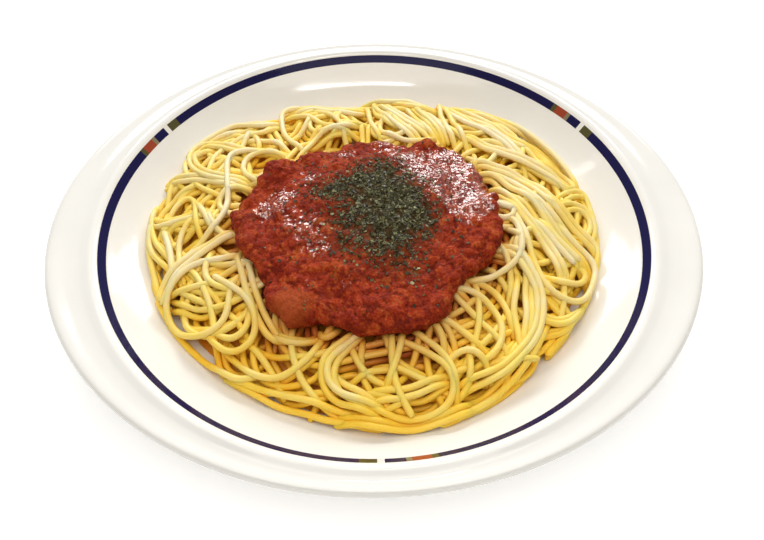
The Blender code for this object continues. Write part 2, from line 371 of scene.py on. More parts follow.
def sauce_edge(angle):
    """Distance from the sauce's centre to its uneven outline."""
    turn = np.asarray(angle) % (2 * math.pi)
    corners = np.radians(np.arange(0, 361, 10))
    return np.interp(turn, corners, sauce_reach + sauce_reach[:1])


def heap_height(out_share):
    """How high the heap is meant to reach at a share of the way out to its outline."""
    foot, rise = 10.5, 14.0
    return foot + rise * (1 - np.clip(out_share, 0, 1) ** 3.2) ** 0.8


def share_of(point, centre, edge):
    """How far out a point in plan lies, 0 at the centre and 1 at the outline."""
    away = point - centre
    return np.hypot(*away.T) / edge(np.arctan2(away.T[1], away.T[0]))


class Bed:
    """Heights of all that lies in the plate so far, on a square grid in plan."""

    cell = 0.5
    reach = 104.0

    def __init__(self):
        axis = np.arange(-self.reach, self.reach, self.cell) + self.cell / 2
        self.axis = axis
        self.plan = np.stack(np.meshgrid(axis, axis, indexing="ij"), axis=-1)
        plan = self.plan.reshape(-1, 2)
        meant = heap_height(share_of(plan, heap_centre, heap_edge))
        plate = plate_height(np.hypot(*plan.T))
        self.meant = meant.reshape(len(axis), -1)
        self.z = np.maximum(meant - core_below, plate).reshape(len(axis), -1)

    def below(self, path, radius):
        """The grid cells under each point of a path, and the strand's rise over each cell."""
        near = int(radius / self.cell) + 1
        i, j = (((path + self.reach) / self.cell).astype(int)).T
        spread = np.arange(-near, near + 1)
        rows = (i[:, None, None] + spread[None, :, None]).clip(0, len(self.axis) - 1)
        columns = (j[:, None, None] + spread[None, None, :]).clip(0, len(self.axis) - 1)
        rows, columns = np.broadcast_arrays(rows, columns)
        dx = self.axis[rows] - path[:, 0, None, None]
        dy = self.axis[columns] - path[:, 1, None, None]
        rise = radius**2 - dx**2 - dy**2
        return rows, columns, np.sqrt(rise.clip(0)), rise > 0

    def read(self, grid, plan):
        """Heights read from one of the bed's grids between its cells."""
        place = (plan - self.axis[0]) / self.cell
        i, j = np.floor(place).astype(int).T
        a, b = (place - np.floor(place)).T
        near = grid[i, j] * (1 - b) + grid[i, j + 1] * b
        far = grid[i + 1, j] * (1 - b) + grid[i + 1, j + 1] * b
        return near * (1 - a) + far * a

    def rest(self, path, radius=strand_radius):
        rows, columns, rise, under = self.below(path, radius)
        return np.where(under, self.z[rows, columns] + rise, 0).max(axis=(1, 2))

    def cover(self, path, z, radius=strand_radius):
        rows, columns, rise, under = self.below(path, radius)
        top = z[:, None, None] + rise
        np.maximum.at(self.z, (rows[under], columns[under]), top[under])


def blurred(grid, cells):
    """The grid averaged over some cells each way, three times, which is nearly a bell curve."""
    for _ in range(3):
        for axis in (0, 1):
            total = sum(np.roll(grid, k, axis) for k in range(-cells, cells + 1))
            grid = total / (2 * cells + 1)
    return grid


def settle(bed, path, stiffness):
    """Heights of a strand let down on the bed, and over its own earlier stretches."""
    pressed_in, last_turns = 0.15, 8
    stretch = np.arange(len(path)) // 7
    own = copy.copy(bed)
    own.z = bed.z.copy()
    z = own.rest(path)
    for now in range(2, stretch[-1] + 1):
        earlier = stretch == now - 2
        own.cover(path[earlier], z[earlier])
        z[stretch == now] = own.rest(path[stretch == now])
    rest = z - pressed_in
    for turn in range(stiffness + last_turns):
        padded = np.concatenate([z[:1], z, z[-1:]])
        z = (padded[:-2] + 2 * z + padded[2:]) / 4
        if turn < stiffness:
            z = np.maximum(rest, z)
    return z


def wander(rng, start, heading, bend, easy, length):
    """Half a strand: it wanders over the heap, is turned back at the outline, and after its
    length is drawn in under the sauce."""
    turned_back_at = 0.86
    path = []
    place, gone, steady = start.copy(), 0.0, bend
    while gone < 2.4 * length:
        path.append(place.copy())
        way = np.array([math.cos(heading), math.sin(heading)])
        place = place + way * step
        gone += step
        out = place - heap_centre
        out_share = share_of(place, heap_centre, heap_edge)
        side = out[0] * way[1] - out[1] * way[0]
        outward = (out @ way) / np.hypot(*out)
        steady += ((bend - steady) / 25 + rng.normal(0, easy * 0.2) / 5) * step
        turn = steady
        if out_share > turned_back_at and outward > -0.25:
            turn += math.copysign((out_share - turned_back_at) / 0.14 / 11, side)
        home = sauce_centre - place
        if gone > length:
            turn += 0.055 * math.copysign(1, way[0] * home[1] - way[1] * home[0])
            if share_of(place, sauce_centre, sauce_edge) < 0.93:
                break
        heading += turn * step
    return np.array(path)


# The strands that show on top, from the lower to the upper in each part of the heap: how many
# run side by side, the points that the first of them passes in plan, and the end that lies
# loose on top, if one does
shown_strands = [
    # back left
    (2, [(-41, 59), (-48, 57), (-58, 62), (-66, 63), (-71, 55), (-77, 47)]),
    (2, [(-35, 67), (-27, 68), (-19, 63), (-11, 60), (-4, 63)]),
    (2, [(-96, 26), (-89, 25), (-80, 21), (-71, 19), (-63, 15), (-52, 10)]),
    (2, [(-89, 4), (-85, -2), (-79, -4), (-75, -3), (-70, -2), (-62, -3)]),
    (2, [(-91, 7), (-87, -2), (-83, -12), (-77, -20), (-70, -28)]),
    (1, [(-78, -9), (-75, -15), (-73, -22), (-70, -28)]),
    (1, [(-68, -3), (-71, -7), (-72, -13), (-71, -19), (-69, -26)]),
    (2, [
        (-37, 31), (-45, 35), (-52, 35), (-60, 40), (-68, 46), (-74, 47), (-77, 41), (-75, 31),
        (-70, 23), (-64, 17), (-56, 14), (-50, 11),
    ]),
    (1, [(-78, 2), (-76, 8), (-74, 11), (-72, 12), (-69, 8), (-67, 1), (-66, -6), (-63, -13)]),
    (1, [(-67, 4), (-64, -1), (-61, -7), (-59, -12)]),
    (1, [(-37, 28), (-44, 32), (-49, 31), (-52, 27), (-51, 19), (-48, 14), (-44, 10)]),
    (1, [(-38, 61), (-31, 60), (-25, 54), (-19, 46), (-14, 42)]),
    (1, [(-11, 41), (-18, 43), (-23, 41), (-26, 35), (-29, 29)]),
    (1, [(-37, 81), (-40, 77), (-40, 62), (-38, 49), (-34, 39), (-29, 32)], "first"),
    (1, [
        (-47, 32), (-54, 33), (-58, 31), (-58, 24), (-56, 12), (-55, 5), (-55, -3), (-58, -10),
        (-62, -15), (-66, -19), (-69, -22), (-73, -28), (-75, -34),
    ]),
    # back
    (1, [(-5, 77), (-2, 61), (-1, 50), (2, 42)]),
    (1, [(6, 72), (2, 80), (0, 69), (2, 56), (8, 47), (14, 42)]),
    (2, [(0, 67), (4, 57), (8, 49), (12, 42), (16, 37)]),
    (2, [(2, 69), (7, 58), (12, 51), (17, 45), (22, 39)]),
    (2, [(14, 65), (18, 54), (21, 46), (24, 40)]),
    (2, [(18, 65), (22, 54), (25, 48), (27, 42)]),
    (2, [(-1, 80), (6, 80), (12, 71), (18, 65), (25, 64)]),
    # right
    (3, [
        (38, 66), (46, 65), (55, 58), (63, 55), (70, 56), (73, 50), (75, 40), (79, 36), (82, 30),
        (83, 22),
    ]),
    (2, [(35, 65), (43, 59), (50, 50), (55, 43), (60, 38), (65, 35), (69, 28), (69, 20)]),
    (2, [(32, 63), (39, 53), (47, 47), (52, 41), (56, 35), (58, 29), (62, 26)]),
    (1, [(62, 37), (66, 30), (69, 21), (72, 12), (72, 4), (73, 2), (76, 10)]),
    (2, [(74, 7), (80, 12), (87, 13), (89, 5), (88, -3), (83, -13), (76, -19), (68, -23)]),
    (2, [(71, -2), (75, 3), (81, 3), (83, -1), (80, -9), (76, -12), (72, -11)]),
    (1, [(69, 29), (74, 25), (80, 22), (80, 17), (76, 13), (71, 15), (67, 20), (61, 25)]),
    (2, [(38, 39), (43, 35), (49, 31), (55, 29), (61, 25), (67, 21), (71, 17), (75, 13)]),
    (2, [
        (41, 23), (46, 20), (52, 19), (56, 16), (61, 10), (64, 3), (69, -3), (74, -9), (79, -14),
        (85, -18), (87, -26),
    ]),
    (2, [
        (42, 16), (49, 15), (54, 10), (58, 3), (63, -4), (67, -10), (71, -16), (76, -22),
        (79, -27),
    ]),
    (2, [
        (44, 16), (47, 12), (51, 6), (56, 2), (59, -4), (62, -11), (66, -18), (71, -24),
        (74, -28),
    ]),
    (2, [(46, 9), (50, 2), (53, -4), (56, -10), (59, -15), (62, -21), (64, -27), (65, -31)]),
    (1, [(29, 73), (29, 56), (30, 45), (32, 38)]),
    (1, [(31, 65), (34, 52), (35, 44), (37, 36)]),
    # front right
    (2, [(79, -36), (74, -42), (69, -47), (63, -51), (57, -52)]),
    (2, [(73, -42), (67, -46), (61, -49), (57, -48), (54, -46)]),
    (2, [(59, -9), (62, -13), (65, -18), (68, -22), (71, -26)], "last"),
    (1, [(61, -32), (65, -35), (70, -34), (74, -32), (77, -28), (75, -27)]),
    (1, [
        (52, -7), (54, -15), (55, -23), (57, -31), (59, -37), (63, -40), (68, -41), (74, -39),
        (79, -34), (81, -28), (80, -23), (77, -19), (72, -15), (68, -9),
    ]),
    (2, [(51, -26), (53, -32), (51, -39), (51, -46), (50, -52), (48, -58)]),
    (1, [(49, -35), (48, -40), (46, -46), (47, -52), (47, -59)]),
    (2, [(54, -53), (50, -60), (45, -66), (39, -71), (35, -75), (30, -78), (24, -81)]),
    (1, [(17, -50), (21, -51), (24, -53), (28, -56), (31, -59), (34, -61)]),
    (1, [(17, -52), (21, -55), (22, -59), (22, -64)]),
    (1, [(32, -37), (36, -38), (40, -38), (43, -41), (44, -45), (45, -50)]),
    (1, [
        (20, -42), (24, -41), (29, -40), (34, -42), (38, -45), (41, -49), (42, -54), (41, -59),
        (39, -63), (34, -66),
    ]),
    (1, [(30, -65), (30, -68), (30, -72), (28, -76), (25, -78)]),
    (1, [(23, -66), (26, -63), (29, -62), (33, -63), (35, -65), (36, -68)]),
    (2, [
        (48, -24), (51, -29), (53, -34), (55, -38), (55, -44), (54, -49), (52, -55), (48, -60),
        (44, -64), (39, -68), (34, -70), (29, -72),
    ]),
    (1, [(45, -64), (48, -64), (51, -65), (55, -66)], "last"),
    (1, [
        (50, -7), (52, -13), (52, -19), (52, -23), (50, -28), (46, -31), (41, -34), (36, -37),
        (32, -38),
    ]),
    # front
    (2, [(-46, -70), (-39, -74), (-32, -77), (-25, -79), (-18, -82), (-11, -84), (-4, -85)]),
    (2, [(28, -79), (22, -82), (15, -84), (8, -85), (1, -85), (-7, -83)]),
    (1, [(4, -68), (8, -69), (12, -71), (16, -73), (18, -74)], "last"),
    (2, [(0, -79), (6, -79), (11, -78), (16, -76), (20, -74)]),
    (1, [
        (5, -58), (9, -60), (13, -62), (18, -64), (21, -67), (24, -70), (25, -74), (24, -77),
        (22, -81), (17, -83), (11, -84), (5, -84), (-1, -81),
    ]),
    (1, [(11, -54), (13, -57), (17, -60), (21, -63), (23, -67), (25, -70), (25, -74)]),
    (1, [(5, -55), (5, -62), (5, -68), (6, -75), (9, -81), (11, -84)], "last"),
    (1, [(9, -55), (8, -61), (6, -68), (4, -73)]),
    # front left
    (1, [(-90, 1), (-87, -8), (-82, -19), (-79, -27), (-77, -33)]),
    (1, [(-88, 0), (-84, -12), (-80, -18), (-75, -23)]),
    (1, [(-78, -8), (-75, -15), (-73, -22), (-72, -27)]),
    (1, [(-72, -35), (-68, -35), (-64, -36), (-59, -35), (-55, -34)]),
    (1, [(-34, -56), (-30, -58), (-25, -59), (-20, -58)]),
    (1, [(-41, -58), (-37, -62), (-34, -66), (-32, -70)]),
    (1, [(-42, -47), (-42, -53), (-45, -56), (-49, -57), (-52, -54)]),
    (1, [
        (-75, -39), (-71, -47), (-64, -55), (-58, -60), (-54, -65), (-51, -68), (-47, -70),
        (-42, -69), (-39, -68),
    ]),
    (2, [
        (-51, -12), (-56, -15), (-61, -17), (-66, -21), (-70, -24), (-73, -28), (-75, -33),
        (-77, -38),
    ], "last"),
    (1, [
        (-48, -24), (-52, -25), (-56, -25), (-60, -25), (-64, -25), (-67, -27), (-70, -30),
        (-72, -34), (-73, -39), (-72, -44), (-68, -49), (-64, -52), (-60, -54), (-56, -54),
        (-52, -52), (-50, -48), (-49, -43), (-50, -38), (-48, -33),
    ]),
    (1, [(-59, -24), (-60, -30), (-58, -34), (-54, -37), (-50, -38)]),
    (1, [(-39, -49), (-37, -54), (-33, -58), (-28, -60), (-23, -60), (-18, -59)]),
    (2, [(-49, -23), (-46, -31), (-44, -39), (-41, -46), (-38, -52), (-35, -57), (-31, -61)]),
    (1, [
        (-48, -60), (-44, -64), (-40, -68), (-34, -70), (-28, -70), (-24, -67), (-20, -64),
        (-18, -60),
    ]),
    (1, [
        (-56, -32), (-51, -36), (-46, -40), (-42, -44), (-40, -49), (-39, -54), (-40, -57),
        (-43, -60), (-48, -60), (-52, -59), (-54, -56),
    ], "first"),
    (2, [(-13, -49), (-14, -54), (-16, -57), (-18, -61)]),
    (1, [(-14, -69), (-11, -73), (-8, -75), (-4, -77)]),
    (1, [(-4, -58), (-8, -62), (-13, -66), (-14, -70), (-13, -75), (-9, -78), (-5, -80)]),
    (2, [
        (-6, -56), (-12, -61), (-17, -65), (-18, -70), (-17, -74), (-14, -78), (-10, -80),
        (-4, -82),
    ]),
]


def even_steps(path):
    """The same path with its points a step apart."""
    along = np.concatenate([[0], np.cumsum(np.hypot(*np.diff(path, axis=0).T))])
    places = np.linspace(0, along[-1], max(int(along[-1] / step), 4))
    return np.stack([np.interp(places, along, path[:, k]) for k in range(2)], axis=1)


def random_strand(rng, start, easy):
    """A strand whose middle lies out on the heap and whose ends are under the sauce."""
    angle = math.atan2(*(start - heap_centre)[::-1])
    # At the right and back they lie alongside each other, and elsewhere they cross
    flowing = math.cos(angle - math.radians(35)) > -0.1
    scatter = math.radians(28 if flowing else 62)
    heading = angle + math.pi / 2 * rng.choice([-1, 1]) + rng.normal(0, scatter)
    bend = rng.normal(0, easy)
    length = rng.uniform(20, 70)
    ahead = wander(rng, start, heading, bend, easy, length)
    behind = wander(rng, start, heading + math.pi, -bend, easy, length)
    return np.concatenate([behind[:0:-1], ahead])


def anywhere(rng):
    """A random place out on the heap."""
    out_share = rng.uniform(0.6, 0.98)
    angle = rng.uniform(0, 2 * math.pi)
    way = np.array([math.cos(angle), math.sin(angle)])
    return heap_centre + way * heap_edge(angle) * out_share


def thinnest(bed):
    """Where the heap is furthest below its meant height, and how far."""
    lack_where_bare, lack_where_hidden = 5.5, -10
    plan = bed.plan.reshape(-1, 2)
    beyond_sauce = share_of(plan, sauce_centre, sauce_edge) > 1.02
    shows = beyond_sauce & (share_of(plan, heap_centre, heap_edge) < 0.94)
    bare = bed.z < plate_height(np.hypot(*plan.T)).reshape(bed.z.shape) + 0.1
    lack = blurred(np.where(bare, lack_where_bare, bed.meant - bed.z), 2).ravel()
    lack = np.where(shows, lack, lack_where_hidden)
    return plan[lack.argmax()], lack.max()


def beside(rng, path, offset, loose):
    """A strand that runs along another, a little to one side, and drifts from it."""
    along = np.gradient(path, axis=0)
    along /= np.hypot(*along.T)[:, None]
    side = np.stack([-along[:, 1], along[:, 0]], axis=1)
    drift = np.sin(np.linspace(0, rng.uniform(2, 5), len(path)) + rng.uniform(0, 6))
    return path + side * (offset + loose * drift)[:, None]


def relaxed(path, turns):
    """The path with its kinks smoothed out."""
    for _ in range(turns):
        inner = (path[:-2] + 2 * path[1:-1] + path[2:]) / 4
        path = np.concatenate([path[:1], inner, path[-1:]])
    return path


def drawn_under(path, loose_ends):
    """The path with its ends carried on, where they pass under other strands or the sauce."""
    for end, inner in ((0, 1), (-1, -2)):
        if ("first" if end == 0 else "last") in loose_ends:
            continue
        onward = path[end] - path[inner]
        if 0.9 < share_of(path[end], sauce_centre, sauce_edge) < 1.16:
            onward = sauce_centre - path[end]
        further = path[end] + onward / np.hypot(*onward) * 6
        path = np.concatenate([[further], path] if end == 0 else [path, [further]])
    return path


def sink_ends(strand, loose_ends):
    """Lets the ends of a strand dive in among those below, apart from its loose ends."""
    drop, drop_length = 4.0, 9
    lowest = plate_height(np.hypot(*strand[:, :2].T)) + strand_radius
    along = np.arange(len(strand)) * step
    for end, order in (("first", slice(None)), ("last", slice(None, None, -1))):
        if end not in loose_ends:
            z = strand[order, 2]
            sunk = z - drop * np.clip(1 - along / drop_length, 0, 1) ** 1.5
            strand[order, 2] = np.maximum(sunk, np.minimum(lowest[order], z))


def lay_heap(bed):
    """Lays every strand in turn, and returns their points in three dimensions."""
    rng = np.random.default_rng(21)
    strands = []

    def lay(path, stiffness):
        out_share = share_of(path, heap_centre, heap_edge)[:, None]
        pulled = heap_centre + (path - heap_centre) / out_share.clip(1.0)
        path = relaxed(even_steps(relaxed(pulled, 12)), 4)
        z = settle(bed, path, stiffness)
        z -= 0.25 * (z - bed.read(bed.meant, path) - 1.0).clip(0)
        bed.cover(path, z)
        strands.append(np.column_stack([path, z]))

    def overfull(path):
        path = path[share_of(path, sauce_centre, sauce_edge) > 0.95]
        i, j = (((path + bed.reach) / bed.cell).astype(int)).T
        return (bed.z[i, j] - bed.meant[i, j]).mean() + left_for_shown

    for number in range(most_leaders):
        stiffness = 6 + number // 6
        tries = [random_strand(rng, anywhere(rng), rng.uniform(0.03, 0.08)) for _ in range(8)]
        leader = min(tries, key=overfull)
        if overfull(leader) > 0:
            break
        lay(leader, stiffness)
        for k in range(rng.integers(0, 3)):
            lay(beside(rng, leader, (2.5 + 0.4 * k) * rng.choice([-1, 1]), 1.3), stiffness)
    for _ in range(most_fillers):
        start, lack = thinnest(bed)
        if lack < thin_by:
            break
        tries = [random_strand(rng, start, rng.uniform(0.03, 0.08)) for _ in range(8)]
        lay(min(tries, key=overfull), 4)
    for count, corners, *loose_ends in shown_strands:
        leader = drawn_under(np.array(corners, dtype=float), loose_ends)
        leader = even_steps(smooth_line(leader, 6))
        for k in range(count):
            lay(leader if k == 0 else beside(rng, leader, 2.4 * k, 0.5), 12)
            sink_ends(strands[-1], loose_ends)
    return strands


bed = Bed()
strands = lay_heap(bed)


def depth_below(bed, points):
    """How deep each point lies below the top of the heap just around it, in mm."""
    i, j = (((points[:, :2] + bed.reach) / bed.cell).astype(int)).T
    top = bed.z.copy()
    for shift in (1, 2, 3):
        for axis in (0, 1):
            both_ways = np.maximum(np.roll(top, shift, axis), np.roll(top, -shift, axis))
            top = np.maximum(top, both_ways)
    return top[i, j] - points[:, 2] - strand_radius


def mark(piece, name, *columns):
    """Stores up to three values of each point on a piece, for its material to read."""
    values = np.ones((len(piece.data.vertices), 4))
    for k in range(3):
        values[:, k] = columns[k] if k < len(columns) else 0
    layer = piece.data.color_attributes.new(name, "FLOAT_COLOR", "POINT")
    layer.data.foreach_set("color", values.ravel())


def tubes(name, paths, sides, material, rng):
    """Round strands along the paths, joined in one piece, with how deep each point lies."""
    points, faces, marks, base = [], [], [], 0
    turn = np.arange(sides) / sides * 2 * math.pi
    share_of_side, share_of_up = np.cos(turn)[:, None], np.sin(turn)[:, None]
    for path in paths:
        along = np.gradient(path, axis=0)
        along /= np.linalg.norm(along, axis=1)[:, None]
        side = np.cross(along, (0, 0, 1))
        side /= np.linalg.norm(side, axis=1)[:, None]
        up = np.cross(side, along)
        count = len(path)
        girth = strand_radius * (1 + 0.03 * np.sin(np.arange(count) * 0.7 + rng.uniform(0, 6)))
        girth[[0, -1]] *= 0.6
        ring = share_of_side * side[:, None] + share_of_up * up[:, None]
        body = path[:, None] + ring * girth[:, None, None]
        points.append(body.reshape(-1, 3))
        faces.extend((quads_between(count, sides) + base).tolist())
        last = base + (count - 1) * sides
        faces.append(list(range(base, base + sides)))
        faces.append(list(range(last + sides - 1, last - 1, -1)))
        # Strands deep in the heap and towards the front are coloured darker amber: painted shade.
        painted_front_shade = np.clip((-30 - path[:, 1]) / 30, 0, 1)
        painted_shade_depth = relaxed(depth_below(bed, path) / 7, 14) + 0.22 * painted_front_shade
        near = share_of(path[:, :2], sauce_centre, sauce_edge)
        stain = np.clip(1 - (near - 1) / 0.22, 0, 1)
        tone = np.full(count, rng.uniform(0, 1))
        marks.append(np.repeat(np.column_stack([painted_shade_depth.clip(0, 1), stain, tone]), sides, axis=0))
        base += count * sides
    piece = piece_from(name, np.concatenate(points), faces, [material], "spaghetti")
    mark(piece, "lie", *np.concatenate(marks).T)


def pasta_finish():
    """Moist boiled pasta, a little see-through and sauce-stained, painted pale on top and amber
    below as painted light and shade.
    """
    material, shader, shade = finish_of(
        "boiled_pasta",
        Subsurface_Weight=0.4,
        Subsurface_Radius=(1.0, 0.75, 0.4),
        Subsurface_Scale=0.0015,
        Specular_IOR_Level=0.3,
    )
    painted_shade_depth, stain, tone = shade.parts("lie")
    place = shade.node("TexCoord", output=3)
    mottle = shade.node("TexNoise", {}, {"Vector": place, "Scale": 260.0, "Detail": 4.0})
    # Pale on top to darker amber deep down: painted light and shade of the heap.
    stops = [
        (0.0, paint(239, 224, 182)),
        (0.3, paint(246, 217, 114)),
        (0.65, paint(251, 208, 74)),
        (1.0, paint(255, 200, 54)),
    ]
    tone_and_painted_shade = painted_shade_depth + (tone - 0.5) * 0.16 + (mottle - 0.5) * 0.3
    ramp = shade.node("ValToRGB", {"stops": stops}, {"Fac": tone_and_painted_shade})
    sauced = shade.sum("MULTIPLY", stain * painted_shade_depth, 1.3, clamp=True)
    shade.feed(shader.inputs["Base Color"], shade.mix(sauced, ramp, paint(196, 98, 34)))
    shade.feed(shader.inputs["Roughness"], 0.3 + 0.25 * mottle)
    grain = shade.node("TexNoise", {}, {"Vector": place, "Scale": 1400.0, "Detail": 2.0})
    bump = shade.node("Bump", {}, {"Strength": 0.25, "Distance": 0.0002, "Height": grain})
    shade.feed(shader.inputs["Normal"], bump)
    return material


def make_core(material):
    """What shows between the strands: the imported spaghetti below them."""
    angles = np.arange(96) / 96 * 2 * math.pi
    ways = np.stack([np.cos(angles), np.sin(angles)], axis=1)
    rings = []
    for share in np.linspace(0.02, 0.96, 24):
        plan = heap_centre + ways * (heap_edge(angles) * share)[:, None]
        low = plate_height(np.hypot(*plan.T)) - 0.5
        z = heap_height(np.full(len(angles), share)) - core_below
        rings.append(np.column_stack([plan, np.maximum(z, low)]))
    faces = quads_between(len(rings), len(angles)).tolist()
    faces.append(list(range(len(angles))))
    core = piece_from("spaghetti_core", np.concatenate(rings), faces, [material], "spaghetti")
    # The core takes the deepest, darkest amber of the strands: painted shade.
    mark(core, "lie", 1.0, 0.5, 0.5)


pasta = pasta_finish()
make_core(pasta)
rng = np.random.default_rng(4)
third = len(strands) // 3
tubes("spaghetti_lower", strands[:third], 6, pasta, rng)
tubes("spaghetti_middle", strands[third : 2 * third], 6, pasta, rng)
tubes("spaghetti_upper", strands[2 * third :], 8, pasta, rng)


# The sauce is minced meat simmered in tomato, ladled on the middle of the heap: a wet mound of
# crumbs with a thick rounded edge, and one large smooth piece of mince at its front left.
sauce_height = 14.5
edge_height = 4.8
top_share, edge_share = 0.93, 0.07  # of the way out: the domed top and the rounded edge
rings_on_top, rings_on_side, round_sauce = 138, 16, 560
crumb_count = 7500
lump_place, lump_radius = np.array([-27.5, -49.5]), 8.2

# Where the film of oil lies thick and shines: x, y, how far it spreads, how much
oily_places = [
    (19, 8, 9, 1.2), (32, 11, 9, 1.2), (36, 0, 9, 1.1), (27, -5, 8, 0.9), (30, 20, 7, 0.9),
    (38, -9, 6, 0.8), (31, -15, 5, 0.7), (13, 17, 8, 0.75), (14, -12, 5, 0.6),
    (-33, -5, 8, 0.8), (-40, -11, 6, 0.7), (-23, 7, 7, 0.7), (-25, -19, 8, 0.8),
    (-19, -31, 7, 0.75), (-22, -45, 5, 0.6), (-10, -44, 5, 0.6), (-11, 19, 7, 0.75),
    (4, 26, 7, 0.8),
]
# Where the parsley lies: x, y, how far it spreads, how much
parsley_places = [
    (3, 1, 9, 0.8), (2, -9, 8, 0.8), (7, -20, 8, 0.95), (-9, -3, 7, 0.6), (11, -8, 8, 0.7),
    (5, -30, 9, 0.35), (-17, -4, 6, 0.4), (15, -17, 7, 0.5), (-7, -19, 8, 0.5),
    (-8, -29, 7, 0.25), (9, -37, 7, 0.15), (1, 11, 6, 0.25),
]


def amount_at(plan, places):
    """How much of something that is spread over some places lies at each point in plan."""
    amount = np.zeros(len(plan))
    for x, y, spread, much in places:
        away = ((plan - (x, y)) ** 2).sum(axis=1)
        amount += much * np.exp(-away / spread**2)
    return amount


def sauce_form():
    """Points of the smooth mound, ring by ring from its top to the foot of its edge."""
    angles = np.arange(round_sauce) / round_sauce * 2 * math.pi
    ways = np.stack([np.cos(angles), np.sin(angles)], axis=1)
    wobble = [noise.noise(Vector((x, y, 3)) * 11.0) * 1.8 for x, y in ways]
    reach = sauce_edge(angles) + np.array(wobble)
    under = np.maximum(bed.z, bed.meant - 1.0)
    for shift in (-3, -2, -1, 1, 2, 3):
        for axis in (0, 1):
            under = np.maximum(under, np.roll(bed.z, shift, axis))
    under = blurred(under, 5)
    shares = np.linspace(0.004, 1, rings_on_top) ** 0.8 * top_share
    rolls = np.linspace(0, math.radians(140), rings_on_side + 1)[1:]
    rings = []
    for share, roll in [(s, 0.0) for s in shares] + [(top_share, r) for r in rolls]:
        out = share + edge_share * math.sin(roll)
        plan = sauce_centre + ways * (reach * out)[:, None]
        dome = (1 - share**2.2) ** 0.75
        thick = edge_height + (sauce_height - edge_height) * dome
        drop = edge_height * (1 - math.cos(roll)) * 0.75
        rings.append(np.column_stack([plan, bed.read(under, plan) + thick - drop]))
    return np.concatenate(relaxed(np.array(rings), 30))


def outward_of(points, rings, around):
    """Unit directions out of a sheet of rings, at each of its points."""
    sheet = points.reshape(rings, around, 3)
    down = np.gradient(sheet, axis=0)
    onward = np.roll(sheet, -1, axis=1) - np.roll(sheet, 1, axis=1)
    out = np.cross(down, onward).reshape(-1, 3)
    return out / (np.linalg.norm(out, axis=1)[:, None] + 1e-9)


def crumbled(points, outward):
    """Raises lumps and crumbs of mince on the mound. Returns the points with each one's tone,
    its height on its crumb, and 1 where it lies on the large smooth piece."""
    rng = np.random.default_rng(3)
    sizes = [(0.13, 1.3), (0.3, 0.8), (0.55, 0.4)]  # how fine the lumps are, and how high
    lumps = np.zeros(len(points))
    for fine, high in sizes:
        lumps += [high * noise.noise(Vector(point) * fine) for point in points]
    count = crumb_count
    spots = points[rng.choice(len(points), count, replace=False, p=spread_evenly(points))]
    size = rng.lognormal(math.log(0.8), 0.38, count).clip(0.45, 2.4)
    long_way = rng.uniform(1.0, 1.6, count)
    turn = rng.uniform(0, math.pi, count)
    tone = rng.uniform(0, 1, count)
    height = size * rng.uniform(0.25, 0.6, count)
    raised = np.zeros(len(points))
    tones = np.full(len(points), 0.3)
    for k in range(count):
        away = points - spots[k]
        close = np.flatnonzero((np.abs(away) < size[k] * long_way[k]).all(axis=1))
        away = away[close]
        c, s = math.cos(turn[k]), math.sin(turn[k])
        u = (away[:, 0] * c + away[:, 1] * s) / (size[k] * long_way[k])
        v = (away[:, 1] * c - away[:, 0] * s) / size[k]
        w = away[:, 2] / size[k]
        lift = height[k] * np.sqrt((1 - u**2 - v**2 - w**2).clip(0))
        higher = lift > raised[close]
        raised[close[higher]] = lift[higher]
        tones[close[higher]] = tone[k]
    away = (points[:, :2] - lump_place) / (lump_radius, lump_radius * 0.8)
    within = (1 - (away**2).sum(axis=1) + 0.25 * lumps).clip(0)
    on_piece = np.clip(within * 2, 0, 1) ** 1.5
    piece = 1.6 * within**1.2
    oily = amount_at(points[:, :2], oily_places).clip(0, 1)
    lift = lumps * (1 - 0.6 * on_piece) + piece + raised * (1 - on_piece) * (1 - 0.45 * oily)
    return points + outward * lift[:, None], tones, raised, on_piece


def spread_evenly(points):
    """Chances that put random points evenly over the rings of the mound."""
    sheet = points.reshape(-1, round_sauce, 3)
    wide = np.linalg.norm(np.roll(sheet, -1, axis=1) - sheet, axis=2)
    tall = np.linalg.norm(np.gradient(sheet, axis=0), axis=2)
    area = (wide * tall).ravel()
    return area / area.sum()


